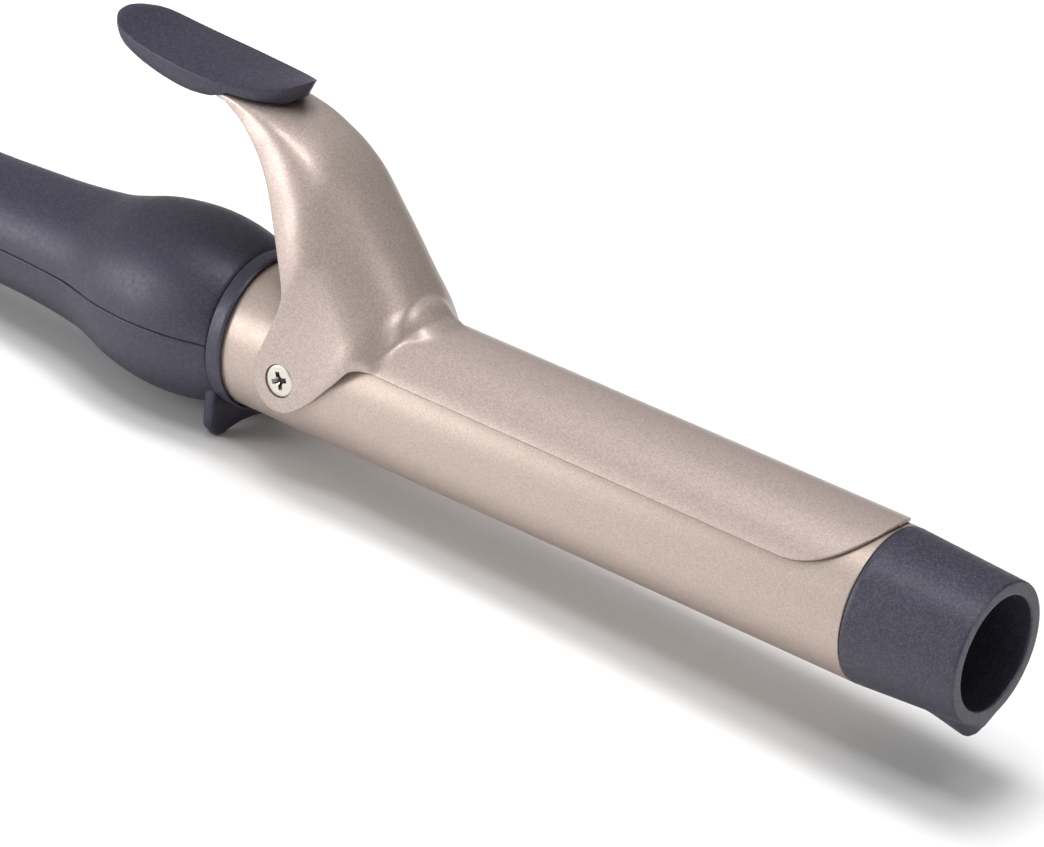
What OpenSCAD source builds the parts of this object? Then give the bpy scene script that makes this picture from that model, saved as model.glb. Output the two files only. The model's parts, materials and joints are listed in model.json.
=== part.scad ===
// Spring-clip curling iron, in millimetres.
// +X runs along the handle towards the cool tip, +Z is up, and z = 0 is the surface that it stands on.
// Two frames are used. Both start at the middle of the collar's front face, axis_height above the surface:
// the handle's frame is level, and the barrel's dips by barrel_dip towards the tip.

/* [Barrel] */
// Outer diameter of the curling barrel
barrel_d = 32; // [30:0.5:34]
// Wall of the barrel tube
barrel_wall = 1; // [0.8:0.1:1.2]
// Barrel length from the collar to the cool tip
barrel_l = 153.1; // [145:0.1:165]
// Angle that the barrel dips below the handle's line
barrel_dip = 0.9; // [0:0.1:1.5]
// Length of the cool tip
tip_l = 25.1; // [20:0.1:30]
// Radius of the cool tip's end rim
tip_end_r = 14.56; // [14:0.01:15.5]
// Radius of the hole in the cool tip
tip_bore_r = 11.6; // [10:0.1:12]

/* [Clamp] */
// Gap between the closed clamp and the barrel
clamp_gap = 0.2; // [0.15:0.05:0.4]
// Sheet thickness of the clamp
sheet_t = 0.75; // [0.6:0.05:0.9]
// Angle from the top to each long edge of the blade
blade_half_angle = 59; // [50:1:65]
// Pivot's distance in front of the collar
pivot_x = 15.9; // [15:0.1:17]
// Outer face of each ear, from the middle
ear_y = 17.3; // [17.2:0.05:17.6]
// Radius of the pivot screws' heads
pivot_head_r = 3.45; // [3.3:0.01:3.5]
// Clearance of the ears on the heads
pivot_clearance = 0.08; // [0.04:0.01:0.1]

/* [Handle] */
// Wall of the handle shells
shell_wall = 2.2; // [1.8:0.1:2.6]
// Height of the handle's line above the surface
axis_height = 22.35; // [22:0.05:23]
// Thickness of the stand's legs, along the handle
leg_t = 2.6; // [2.2:0.1:3.5]
// Travel of each button
button_travel = 0.6; // [0.4:0.1:0.8]
// Radius of the cord bore in the swivel gland
cord_bore_r = 3.2; // [2.8:0.1:3.3]

/* [Hidden] */
$fn = 96;

barrel_r = barrel_d / 2;
barrel_bore = barrel_r - barrel_wall;
tip_x = barrel_l + tip_l;
blade_r1 = barrel_r + clamp_gap;
blade_r2 = blade_r1 + sheet_t;
fit = 0.05;                 // radial gap of parts that are pressed or glued together
slide_gap = 0.15;           // gap round buttons and the lens

// Handle: [distance from the collar, radius], front to rear
handle_line = [
    [-4, 16.5], [-10, 18.35], [-16, 19.5], [-22, 19.85], [-28, 19.4], [-34, 18.35], [-40, 16.5],
    [-45, 15.15], [-52, 14.2], [-60, 13.5], [-70, 13.05], [-82, 12.65], [-98, 12.75], [-114, 13.4],
    [-130, 14.1], [-146, 14.5], [-158, 14.3], [-165, 13.6], [-168, 12.4]
];
handle_end = -168;
socket_face = -170;
gland_end = -182;
row_x = -(tip_x * cos(barrel_dip) + tip_end_r * sin(barrel_dip) + gland_end) / 2;

// Control positions along the handle
display_x = -100;
power_x = -118;
plus_x = -127;
minus_x = -136;
board_top = -1;
board_t = 1.6;
board_x = [-141, -62];
board_screw_at = [[-70, 0], [-131.5, 6], [-131.5, -6]];
front_screw = [-36, 7.4];
rear_screw = [-145.6, 8.6];
screw_head_r = 2.3;

// Stand
leg_front = -4.4;
leg_half = 12.4;
foot_y = [7.9, 9.9];

// Nub under the cool tip, whose lowest point meets the surface
nub_r = 1.2;
nub_x = barrel_l + 21;
nub_z = -(axis_height - nub_r - nub_x * sin(barrel_dip)) / cos(barrel_dip);

// Clamp spring
spring_pin_r = 1.25;
spring_pin_at = [22.5, 22];
spring_pin_half = 13.5;
coil_r = 2.9;
wire_r = 0.45;
coil_turns = 5;

// ---------- helpers ----------

module handle_frame() translate([row_x, 0, axis_height]) children();
module barrel_frame() handle_frame() rotate([0, barrel_dip, 0]) children();

// A solid of revolution about X, from [x, radius] points
module turned(line, angle = 360) {
    rotate([0, 90, 0]) rotate_extrude(angle = angle) polygon([for (p = line) [p[1], p[0]]]);
}

module turned_half(line, upper) {
    rotate([0, 90, 0]) rotate([0, 0, upper ? 90 : -90])
        rotate_extrude(angle = 180) polygon([for (p = line) [p[1], p[0]]]);
}

module ring_x(x0, x1, r_out, r_in) turned([[x0, r_in], [x1, r_in], [x1, r_out], [x0, r_out]]);

module rod_x(x0, x1, r, y = 0, z = 0) translate([x0, y, z]) rotate([0, 90, 0]) cylinder(r = r, h = x1 - x0);

module box_at(x, y, z) translate([x[0], y[0], z[0]]) cube([x[1] - x[0], y[1] - y[0], z[1] - z[0]]);

module mirror_y() {
    children();
    mirror([0, 1, 0]) children();
}

// A plate in the XZ plane, from y0 to y1
module side_plate(outline, y0, y1) {
    translate([0, y1, 0]) rotate([90, 0, 0]) linear_extrude(y1 - y0) polygon(outline);
}

function catmull(a, b, c, d, t) =
    0.5 * (2 * b + (c - a) * t + (2 * a - 5 * b + 4 * c - d) * t * t + (3 * b - a - 3 * c + d) * t * t * t);

// Points on a smooth line through p, n to a span
function smooth(p, n) = concat(
    [for (i = [0:len(p) - 2]) for (k = [0:n - 1])
        catmull(p[max(i - 1, 0)], p[i], p[i + 1], p[min(i + 2, len(p) - 1)], k / n)],
    [p[len(p) - 1]]
);

function arc(c, r, a0, a1, n) = [for (k = [0:n]) c + r * [cos(a0 + (a1 - a0) * k / n), sin(a0 + (a1 - a0) * k / n)]];

handle_curve = smooth(handle_line, 3);
function handle_r(x) = lookup(-x, [for (p = handle_curve) [-p[0], p[1]]]);
function inset(line, d) = [for (p = line) [p[0], p[1] - d]];
function closed(line) = concat(line, [[line[len(line) - 1][0], 0], [line[0][0], 0]]);
function backwards(line) = [for (i = [len(line) - 1:-1:0]) line[i]];

// ---------- handle shells ----------

module shell_half(upper) {
    turned_half(concat(handle_curve, backwards(inset(handle_curve, shell_wall))), upper);
}

// What lies inside the shells' outer surface, on one side of the seam
module handle_inside(upper) turned_half(closed(inset(handle_curve, 0.4)), upper);

// Puts a copy at each screw that joins the shells
module at_screws() {
    mirror_y() {
        translate([front_screw[0], front_screw[1], 0]) children();
        translate([rear_screw[0], rear_screw[1], 0]) children();
    }
}

// Inner collars that hold the barrel mount and the swivel socket
module shell_ribs(upper) {
    for (x = [-27, -12]) turned_half([[x, 14.1], [x + 2, 14.1], [x + 2, handle_r(x) - 1], [x, handle_r(x) - 1]], upper);
    turned_half([[-161, 10.1], [-159, 10.1], [-159, 13], [-161, 13]], upper);
}

// Cuts the front of the handle square to the barrel
module front_cut() rotate([0, barrel_dip, 0]) box_at([-4.25, 4], [-30, 30], [-30, 30]);

module lens_window(grow) {
    translate([display_x, 0, 5]) linear_extrude(20)
        offset(r = 2 + grow, $fn = 32) square([16, 8], center = true);
}

module handle_upper_shell() color("#56546a") handle_frame() difference() {
    union() {
        shell_half(true);
        shell_ribs(true);
        intersection() {
            at_screws() cylinder(r = 2.8, h = 20);
            handle_inside(true);
        }
    }
    front_cut();
    translate([0, 0, -1]) at_screws() cylinder(r = 1.25, h = 8);
    translate([power_x, 0, 0]) cylinder(r = 4 + slide_gap, h = 30);
    for (x = [plus_x, minus_x]) translate([x, 0, 0]) cylinder(r = 3.2 + slide_gap, h = 30);
    lens_window(0.1);
}

// Both legs of the stand, as a plate with a shallow arch between the feet
function leg_side() = concat(
    [[leg_half, -8]],
    arc([leg_half - 3, -axis_height + 4], 3, 0, -50, 5),
    [[foot_y[1], -axis_height], [foot_y[0], -axis_height], [5.6, -21.9], [3, -21.4]]
);

module stand_legs() {
    outline = concat(leg_side(), [for (p = backwards(leg_side())) [-p[0], p[1]]]);
    translate([leg_front - leg_t, 0, 0]) rotate([90, 0, 90]) linear_extrude(leg_t) difference() {
        polygon(outline);
        circle(r = 15.4);
    }
}

module handle_lower_shell() color("#4e4c60") handle_frame() difference() {
    union() {
        shell_half(false);
        shell_ribs(false);
        stand_legs();
        intersection() {
            union() {
                at_screws() translate([0, 0, -20]) cylinder(r = screw_head_r + 1.1, h = 20);
                for (p = board_screw_at) translate([p[0], p[1], -20]) cylinder(r = 2.4, h = 20 + board_top - board_t);
            }
            handle_inside(false);
        }
    }
    front_cut();
    translate([0, 0, -25]) at_screws() cylinder(r = 1.5, h = 30);
    translate([0, 0, -25]) at_screws() cylinder(r = screw_head_r + 0.25, h = 21);
    for (p = board_screw_at) translate([p[0], p[1], board_top - board_t - 5]) cylinder(r = 0.9, h = 6);
}

module handle_screws() color("#b9b9bd") handle_frame() at_screws() {
    difference() {
        translate([0, 0, -6.2]) cylinder(r = screw_head_r, h = 2.2);
        for (a = [0, 90]) rotate([0, 0, a]) translate([0, 0, -6.2]) cube([3, 0.8, 1.6], center = true);
    }
    translate([0, 0, -4]) cylinder(r = 1.2, h = 9.5);
}

// ---------- collar and barrel ----------

module collar_ring() color("#504e60") barrel_frame() turned([
    [-4, 16.05], [-1.8, 16.05], [-1.8, 16.5], [-0.3, 16.5], [-0.05, 16.65], [-0.2, 16.85], [-0.85, 17],
    [-4, 16.85]
]);

module barrel_mount() color("#2c2c30") barrel_frame() turned([
    [-31, 9], [8, 9], [8, barrel_bore - fit], [-2.6, barrel_bore - fit], [-2.6, barrel_r],
    [-4, barrel_r], [-4, 13.6], [-16, 13.6], [-16, 15.6], [-20, 15.6], [-20, 13.6], [-31, 13.6]
]);

module barrel_tube() color("#bba79a") barrel_frame() difference() {
    ring_x(-2.6, barrel_l, barrel_r, barrel_bore);
    translate([pivot_x, 0, 0]) rotate([90, 0, 0]) cylinder(r = 1.6, h = 2 * barrel_r + 4, center = true);
}

function tip_r(x) = barrel_r + 0.05 - (barrel_r + 0.05 - tip_end_r) * (x - barrel_l) / tip_l;

module cool_tip() color("#525061") barrel_frame() difference() {
    union() {
        turned([
            [barrel_l - 8, 12.5], [barrel_l + 6, 12.5], [barrel_l + 6, 4], [barrel_l + 6, 1.7],
            [barrel_l + 7.2, 1.7], [barrel_l + 7.2, 3.3], [barrel_l + 9, 3.3], [barrel_l + 9, tip_bore_r],
            [tip_x - 0.6, tip_bore_r],
            [tip_x, tip_bore_r + 0.6], [tip_x, tip_end_r - 0.6], [tip_x - 0.2, tip_end_r - 0.15],
            [tip_x - 0.7, tip_end_r + 0.05], [barrel_l + 0.6, tip_r(barrel_l)], [barrel_l + 0.1, barrel_r - 0.35],
            [barrel_l, barrel_r - 0.5], [barrel_l, barrel_bore - fit], [barrel_l - 8, barrel_bore - fit]
        ]);
        difference() {
            nub();
            rod_x(barrel_l, tip_x + 5, tip_end_r - 1.2);
        }
    }
}

// Keel under the cool tip, its sides tangent to the tip's surface
module nub() hull() {
    translate([barrel_l + 18, 0, 0]) rotate([0, 90, 0])
        cylinder(r1 = tip_r(barrel_l + 18) - 0.15, r2 = tip_end_r - 0.15, h = tip_l - 18.1, $fn = 48);
    translate([nub_x, 0, nub_z]) sphere(r = nub_r, $fn = 32);
}

module tip_plug() color("#38373c") barrel_frame() difference() {
    union() {
        ring_x(barrel_l - 13, barrel_l - 8.1, barrel_bore - fit, 0.01);
        rod_x(barrel_l - 9, barrel_l + 5.9, 4);
    }
    rod_x(barrel_l - 14, barrel_l + 7, 1.25);
}

module tip_screw() color("#c9c9cc") barrel_frame() difference() {
    union() {
        rod_x(barrel_l - 4, barrel_l + 7.4, 1.2);
        rod_x(barrel_l + 7.25, barrel_l + 8.9, 3);
    }
    for (a = [0, 90]) rotate([a, 0, 0]) translate([barrel_l + 8.9, 0, 0]) cube([2, 3.6, 0.9], center = true);
}

// ---------- pivot ----------

module pivot_block() color("#a8a39a") barrel_frame() difference() {
    intersection() {
        translate([pivot_x, 0, 0]) cube([8, 32, 8], center = true);
        rod_x(pivot_x - 10, pivot_x + 10, barrel_bore - fit);
    }
    translate([pivot_x, 0, 0]) rotate([90, 0, 0]) cylinder(r = 1.5, h = 40, center = true);
}

module pivot_screws() color("#e6e4de") barrel_frame() mirror_y() translate([pivot_x, -barrel_r, 0]) rotate([90, 0, 0])
    difference() {
        union() {
            translate([0, 0, 0.06]) cylinder(r = pivot_head_r, h = ear_y - barrel_r - 0.26);
            translate([0, 0, -8]) cylinder(r = 1.45, h = 8.1);
        }
        for (a = [0, 90]) rotate([0, 0, a + 12]) translate([0, 0, ear_y - barrel_r]) cube([4, 1, 1.5], center = true);
    }

// ---------- heater ----------

// Extruded aluminium half: an arc that meets the tube, with a flat bar over the ceramic
module heater_half() {
    rotate([90, 0, 90]) translate([0, 0, 28]) linear_extrude(108) difference() {
        intersection() {
            circle(r = barrel_bore - 0.15);
            translate([-20, 1]) square([40, 20]);
        }
        difference() {
            circle(r = 12.2);
            translate([-20, 0]) square([40, 3.4]);
        }
    }
}

module heater_upper() color("#c4c6c8") barrel_frame() heater_half();
module heater_lower() color("#bcbec0") barrel_frame() rotate([180, 0, 0]) heater_half();
module heater_element() color("#efe9dc") barrel_frame() box_at([46, 116], [-5, 5], [-0.6, 0.6]);

module mica_sheets() color("#c9b27a") barrel_frame() {
    for (z = [-0.95, 0.65]) box_at([44, 118], [-6, 6], [z, z + 0.3]);
}

// Bowed strips that push the heater's halves apart, against the tube
module spreader_springs() color("#9fa3a8") barrel_frame() {
    for (x = [36, 127]) translate([x, 5, -14.42]) rotate([90, 0, 0]) linear_extrude(10) difference() {
        circle(r = 15.4);
        circle(r = 15.1);
        translate([-20, -20]) square([40, 34.2]);
    }
}

module thermistor() color("#d8b48a") barrel_frame() rod_x(78, 84, 1, 0, 4.45);
module thermal_fuse() color("#d9d9d4") barrel_frame() rod_x(30, 41, 1.6, 2.6, -5.1);

module heater_leads() color("#e8e4da") barrel_frame() {
    for (y = [-2.6, 2.6]) rod_x(-58, y < 0 ? 27.5 : 29.8, 0.9, y, -5.4);
}

module sensor_leads() color("#b0402c") barrel_frame() {
    for (y = [-0.6, 0.6]) rod_x(-58, 77.9, 0.5, y, 4.6);
}

// ---------- electronics ----------

module control_board() color("#2f6b46") handle_frame() difference() {
    box_at(board_x, [-8.6, 8.6], [board_top - board_t, board_top]);
    for (p = board_screw_at) translate([p[0], p[1], board_top - 5]) cylinder(r = 1.2, h = 10);
}

module board_screws() color("#c9c9cc") handle_frame() for (p = board_screw_at) translate([p[0], p[1], board_top]) {
    translate([0, 0, -board_t - 4]) cylinder(r = 0.85, h = board_t + 4.1);
    translate([0, 0, 0.02]) cylinder(r = 1.9, h = 1.2);
}

module film_capacitor() color("#d9a520") handle_frame() box_at([-84, -74], [-6, -1], [board_top + 0.02, 6.4]);
module triac() color("#222226") handle_frame() box_at([-84, -75], [1, 5.6], [board_top + 0.02, 7.2]);
module control_chip() color("#1d1d20") handle_frame() box_at([-115, -105], [-4, 4], [board_top - board_t - 1.7, board_top - board_t - 0.02]);

module terminal_block() color("#3f7a52") handle_frame() difference() {
    box_at([-66, -59.5], [-5, 5], [board_top - board_t - 6.5, board_top - board_t - 0.02]);
    for (y = [-2.6, 2.6]) rod_x(-61, -50, 1.2, y, -5.5);
}

module display_module() color("#3b4450") handle_frame() {
    box_at([display_x - 11, display_x + 11], [-5.2, 5.2], [6.4, 8.4]);
    for (x = [-10, 7.5]) for (y = [-4.5, 3.5]) box_at([display_x + x, display_x + x + 2.5], [y, y + 1], [board_top + 0.02, 6.5]);
}

module display_lens() color("#15161a") handle_frame() intersection() {
    turned(concat(inset(handle_curve, 0.15), backwards(inset(handle_curve, 2.4))));
    lens_window(-0.05);
}

module tact_switches() color("#28282c") handle_frame() for (x = [power_x, plus_x, minus_x]) {
    box_at([x - 3, x + 3], [-3, 3], [board_top + 0.02, 3]);
    translate([x, 0, 2.9]) cylinder(r = 1.7, h = 1);
}

// A button with a flange inside the shell and a stem down to its switch
module push_button(x, r) {
    top = handle_r(x) + 0.55;
    flange = handle_r(x) - shell_wall - 1.8;
    translate([x, 0, 0]) rotate_extrude() polygon([
        [0, 4 + button_travel], [1.5, 4 + button_travel], [1.5, flange - 0.7], [r + 0.9, flange - 0.7],
        [r + 0.9, flange + 0.2], [r, flange + 0.2], [r, top - 0.5], [r - 0.5, top], [0, top]
    ]);
}

module power_button() color("#b79f92") handle_frame() push_button(power_x, 4);
module plus_button() color("#605e72") handle_frame() push_button(plus_x, 3.2);
module minus_button() color("#605e72") handle_frame() push_button(minus_x, 3.2);

// ---------- swivel cord gland ----------

module swivel_socket() color("#34333b") handle_frame() turned([
    [-164, 6.6], [socket_face, 6.6], [socket_face, 10.6], [-169.4, 11.6], [handle_end, 12], [-168.05, 12.1],
    [-168.02, 10], [-154, 10], [-154, 8.4], [-158, 8.4], [-158, 6.6]
]);

module swivel_gland() color("#2b2a31") handle_frame() turned([
    [gland_end, cord_bore_r], [-149, cord_bore_r], [-149, 4.6], [-154.6, 4.6], [-154.6, 8],
    [-157.8, 8], [-157.8, 6.55], [-170.3, 6.55], [-170.3, 8.6], [-173, 8.6], [-174, 7.6],
    [-181.4, 5.4], [gland_end, 4.9]
]);

module slip_rings() color("#d8a648") handle_frame() {
    ring_x(-154.3, -152.3, 5.7, 4.65);
    ring_x(-151.7, -149.7, 5.7, 4.65);
}

module brush_contacts() color("#c98f3a") handle_frame() {
    for (x = [-153.3, -150.7]) box_at([x - 0.5, x + 0.5], [-3, 3], [5.9, 6.3]);
    for (x = [-153.3, -150.7]) box_at([x - 0.5, x + 0.5], [-3, -2.6], [5.9, 11.6]);
}

// ---------- clamp ----------

// Edge of the blade seen from above: straight sides and an elliptical tongue, measured round the barrel
tongue_l = 16.5;
tongue_x = barrel_l - 0.6 - tongue_l;
function tongue_edge(n) = [for (k = [0:n])
    let (a = -90 + 180 * k / n, s = blade_half_angle * sin(a))
        [tongue_x + tongue_l * cos(a), blade_r2 * sin(s)]];

module blade() intersection() {
    ring_x(37, barrel_l, blade_r2, blade_r1);
    linear_extrude(20) polygon(concat([[37, -14.5]], tongue_edge(36), [[37, 14.5]]));
    translate([0, 0, blade_r2 * cos(blade_half_angle) - 0.2]) linear_extrude(20) square([400, 40], center = true);
}

// Each ear is a flat lobe round its pivot screw that runs up into the lever
ear_lobe_r = 6.45;
ear_outline = concat(
    [[12.9, 13.5]],
    arc([pivot_x, -0.1], ear_lobe_r, 155, 300, 12),
    [[21.5, -4.2], [24.4, -1.3], [29, 3.9], [32, 8], [30.5, 15]]
);

// Lever stations, from the blade to the pad: [rear or lower edge], [front corner], [crown], each as [x, half width, z]
lever_stations = [
    [[36, 14.7, 8.7], [36.6, 13.2, 11.5], [40.2, 0, 18]],
    [[33, 16.2, 8.4], [33.6, 15.6, 13.5], [37.9, 0, 20.4]],
    [[29, 17.2, 4.4], [31, 15.5, 16.6], [35.5, 0, 23.3]],
    [[20, 17.2, 4], [28, 15, 20.4], [32.4, 0, 27]],
    [[14, 17.2, 12], [24, 14.4, 26], [27.6, 0, 32.3]],
    [[14.1, 17.2, 19.5], [20, 13.7, 31.4], [22.8, 0, 37.4]],
    [[9.7, 15.3, 28.3], [14.8, 12.6, 37.8], [16.6, 0, 42.5]],
    [[4.8, 13, 36.8], [9.6, 10.8, 43.4], [10.4, 0, 46.7]],
    [[-3.1, 10.5, 44.7], [3, 9.6, 47.9], [2.8, 0, 49.6]],
    [[-12.9, 8.8, 49.2], [-9, 8.9, 50.3], [-9, 0, 51.2]],
    [[-24, 7.5, 49.9], [-23.9, 7.6, 50.6], [-24, 0, 51.2]],
    [[-38, 6.7, 50.6], [-37.9, 6.8, 51.2], [-38, 0, 51.8]]
];

// Points across one station, from one edge over the crown to the other
function across(s) = let (
    e = s[0], f = s[1], c = s[2], g = [c[0], 0.45 * f[1], c[2]],
    half = [e, (e + f) / 2, 0.2 * e + 0.8 * f, 0.8 * f + 0.2 * g, (f + g) / 2, 0.2 * f + 0.8 * g, c]
) concat([for (p = half) [p[0], -p[1], p[2]]], [for (i = [5:-1:0]) half[i]]);

// The lever's sheet starts inside the blade's, on an arc round the barrel
function arc_row(x) = [for (k = [-6:6])
    let (r = blade_r2 - 0.06, a = k * (blade_half_angle - 1.5) / 6) [x, r * sin(a), r * cos(a)]];

lever_rows = concat([arc_row(43), arc_row(39.2)], [for (row = smooth(lever_stations, 2)) across(row)]);
function grid_normal(g, i, j) = let (
    along = g[min(i + 1, len(g) - 1)][j] - g[max(i - 1, 0)][j],
    over = g[i][min(j + 1, len(g[i]) - 1)] - g[i][max(j - 1, 0)],
    n = cross(over, along)
) n / norm(n);

// A sheet of even thickness under a grid of surface points
module thick_sheet(g, t) {
    n = len(g);
    m = len(g[0]);
    under = [for (i = [0:n - 1]) for (j = [0:m - 1]) g[i][j] - t * grid_normal(g, i, j)];
    over = [for (row = g) for (p = row) p];
    rim = concat(
        [for (j = [0:m - 2]) [j, j + 1]],
        [for (i = [0:n - 2]) [i * m + m - 1, (i + 1) * m + m - 1]],
        [for (j = [m - 2:-1:0]) [(n - 1) * m + j + 1, (n - 1) * m + j]],
        [for (i = [n - 2:-1:0]) [(i + 1) * m, i * m]]
    );
    top = [for (i = [0:n - 2]) for (j = [0:m - 2])
        let (a = i * m + j) each [[a, a + m, a + m + 1], [a, a + m + 1, a + 1]]];
    polyhedron(
        points = concat(over, under),
        faces = concat(
            top,
            [for (f = top) [f[2] + n * m, f[1] + n * m, f[0] + n * m]],
            [for (e = rim) each [[e[0], e[1], e[1] + n * m], [e[0], e[1] + n * m, e[0] + n * m]]]
        )
    );
}

module clamp() color("#cbbab2") barrel_frame() difference() {
    union() {
        blade();
        thick_sheet(lever_rows, sheet_t);
        mirror_y() side_plate(ear_outline, ear_y - 0.8, ear_y);
    }
    translate([pivot_x, 0, 0]) rotate([90, 0, 0]) cylinder(r = pivot_head_r + pivot_clearance, h = 60, center = true);
    for (x = pad_screw_x) translate([x, 0, 40]) cylinder(r = 1.5, h = 20);
}

// ---------- thumb pad ----------

pad_screw_x = [-30, -16];
// [x, half width at the top edge, height of the top edge, height of the bottom edge]
pad_stations = [
    [-46.5, 1, 56.5, 55.3], [-45.6, 4.4, 56.35, 54.4], [-43.3, 7.1, 55.95, 53.2], [-40.4, 8.6, 55.3, 51.9],
    [-35, 9.6, 54.4, 50.5], [-28, 10.15, 53.75, 49.1], [-21, 10.4, 53.35, 48.6], [-14, 9.95, 53.2, 49.4],
    [-8, 8.7, 53.5, 49.8], [-4, 7.2, 54, 50.2], [-0.5, 4.8, 54.9, 51], [2, 2.4, 55.9, 52],
    [3.7, 0.5, 56.8, 52.9]
];
pad_crown = 0.7;
pad_tuck = 0.9;             // the underside's width as a share of the top's
pad_lean = 2.1;             // how far the front end slopes back, from its tip to its underside

function pad_section(s) = let (
    w = s[1], c = min(pad_crown, w / 8), u = w * pad_tuck, mid = (s[2] + s[3]) / 2 - 0.3,
    slope = pad_lean * pow(max(0, s[0] + 6) / 9.7, 1.5) / (s[2] - s[3]),
    half = [[w, s[2]], [(w + u) / 2 + 0.02 * w, mid], [u, s[3]]],
    top = [for (k = [-2:2]) [w * k / 3, s[2] + c * [1, 0.9, 0.55][abs(k)]]]
) [for (p = concat([[-w, s[2]]], top, half, [[-u, s[3]], [-half[1][0], mid]]))
    [s[0] - slope * (s[2] - p[1]), p[0], p[1]]];

// A solid through closed sections
module loft(sections) {
    n = len(sections);
    m = len(sections[0]);
    polyhedron(
        points = [for (s = sections) for (p = s) p],
        faces = concat(
            [[for (j = [m - 1:-1:0]) j]],
            [[for (j = [0:m - 1]) (n - 1) * m + j]],
            [for (i = [0:n - 2]) for (j = [0:m - 1]) let (k = (j + 1) % m)
                each [[i * m + j, i * m + k, (i + 1) * m + k], [i * m + j, (i + 1) * m + k, (i + 1) * m + j]]]
        )
    );
}

// Room for the lever's end, under the pad
module pad_pocket() {
    translate([0, 0, 40]) mirror_y() linear_extrude(11.3)
        polygon([[-38.6, -0.1], [-38.6, 7.1], [-24, 8], [-14, 9], [-8, 9.5], [8, 9.8], [8, -0.1]]);
    translate([0, 0, 40]) mirror_y() linear_extrude(11.95)
        polygon([[-38.6, -0.1], [-38.6, 7.1], [-24, 8], [-20, 8.3], [-20, -0.1]]);
}

module thumb_pad() color("#62606f") barrel_frame() difference() {
    loft([for (s = smooth(pad_stations, 2)) pad_section(s)]);
    pad_pocket();
    for (x = pad_screw_x) translate([x, 0, 40]) cylinder(r = 1.05, h = 13);
}

module pad_screws() color("#c9c9cc") barrel_frame() for (x = pad_screw_x) {
    translate([x, 0, 48.6]) cylinder(r = 1, h = 4.2);
    translate([x, 0, 47.8]) cylinder(r = 2.2, h = 1);
}

// ---------- clamp spring ----------

module spring_pin() color("#b9b9bd") barrel_frame()
    translate([spring_pin_at[0], 0, spring_pin_at[1]]) rotate([90, 0, 0])
        cylinder(r = spring_pin_r, h = 2 * spring_pin_half, center = true);

// Torsion spring: one leg lies on the barrel, the other against the lever's front wall
function coil_point(k) = [
    spring_pin_at[0] - coil_r * sin(k * 30), -coil_turns / 2 + k * 30 / 360, spring_pin_at[1] - coil_r * cos(k * 30)
];
coil_last = coil_turns * 12 + 4;
spring_line = concat(
    [[31, -coil_turns / 2 - 0.6, 16.45]],
    [for (k = [0:coil_last]) coil_point(k)],
    [coil_point(coil_last) + [5.3, 0.9, 9.2]]
);

// A round wire along a line of points, with six sides
module wire(p, r) {
    n = len(p);
    function tangent(i) = let (d = p[min(i + 1, n - 1)] - p[max(i - 1, 0)]) d / norm(d);
    function side(i) = let (s = cross(tangent(i), [0, 1, 0])) s / norm(s);
    loft([for (i = [0:n - 1]) let (a = side(i), b = cross(tangent(i), a))
        [for (k = [0:5]) p[i] + r * (cos(60 * k) * a + sin(60 * k) * b)]]);
}

module clamp_spring() color("#8f9296") barrel_frame() wire(spring_line, wire_r);

handle_upper_shell();
handle_lower_shell();
handle_screws();
collar_ring();
barrel_mount();
barrel_tube();
cool_tip();
tip_plug();
tip_screw();
pivot_block();
pivot_screws();
heater_upper();
heater_lower();
heater_element();
mica_sheets();
spreader_springs();
thermistor();
thermal_fuse();
heater_leads();
sensor_leads();
control_board();
film_capacitor();
triac();
control_chip();
terminal_block();
display_module();
display_lens();
tact_switches();
board_screws();
power_button();
plus_button();
minus_button();
swivel_socket();
swivel_gland();
slip_rings();
brush_contacts();
clamp();
thumb_pad();
pad_screws();
spring_pin();
clamp_spring();
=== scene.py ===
"""Looks of a spring-clip curling iron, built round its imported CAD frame."""

import json
import math

import bmesh
import bpy
import numpy as np
from mathutils import Matrix, Vector


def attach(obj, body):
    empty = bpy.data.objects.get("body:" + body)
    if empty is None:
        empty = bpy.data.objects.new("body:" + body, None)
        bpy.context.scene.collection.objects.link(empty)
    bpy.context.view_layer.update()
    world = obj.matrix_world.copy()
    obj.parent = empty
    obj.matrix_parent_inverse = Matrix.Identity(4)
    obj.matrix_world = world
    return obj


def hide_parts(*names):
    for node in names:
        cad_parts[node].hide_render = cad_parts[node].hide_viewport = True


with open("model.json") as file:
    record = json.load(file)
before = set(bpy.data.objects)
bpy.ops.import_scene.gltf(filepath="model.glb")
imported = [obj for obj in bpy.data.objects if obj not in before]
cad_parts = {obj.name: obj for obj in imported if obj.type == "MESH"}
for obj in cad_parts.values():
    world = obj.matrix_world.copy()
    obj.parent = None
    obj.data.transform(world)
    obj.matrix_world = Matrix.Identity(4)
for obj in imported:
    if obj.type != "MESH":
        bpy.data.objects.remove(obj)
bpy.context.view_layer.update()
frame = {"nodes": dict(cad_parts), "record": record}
NODES = frame["nodes"]
ROOT = "handle_and_barrel"
CLAMP = "clamp_lever"

# Sizes in millimetres, as in the CAD. Both frames start at the middle of the collar's front face.
ROW_X = 1.797               # that point along the row's X axis
AXIS_H = 22.35              # and its height over the feet's soles
DIP = math.radians(0.9)     # the barrel points this far below the handle's line
HANDLE_WALL = 2.2
BARREL_R = 16.0
BARREL_L = 153.1
TIP_X = 178.2               # front face of the cool tip
TIP_R = 14.56
TIP_BORE = 11.6
BLADE_R = 16.95             # outer face of the clamp's blade
SHEET = 0.75
HALF_ANGLE = 59.0           # the blade's reach round the barrel, to either side of its crown
PIVOT_X = 15.9
EAR_Y = 17.3                # outer face of the clamp's ears
SCREW_SIDES = 72

PIECES = []                 # each visible piece with its material slot
RECESSED = []               # screws whose second material paints shade into the cross recess


# ---------- geometry helpers ----------

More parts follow.
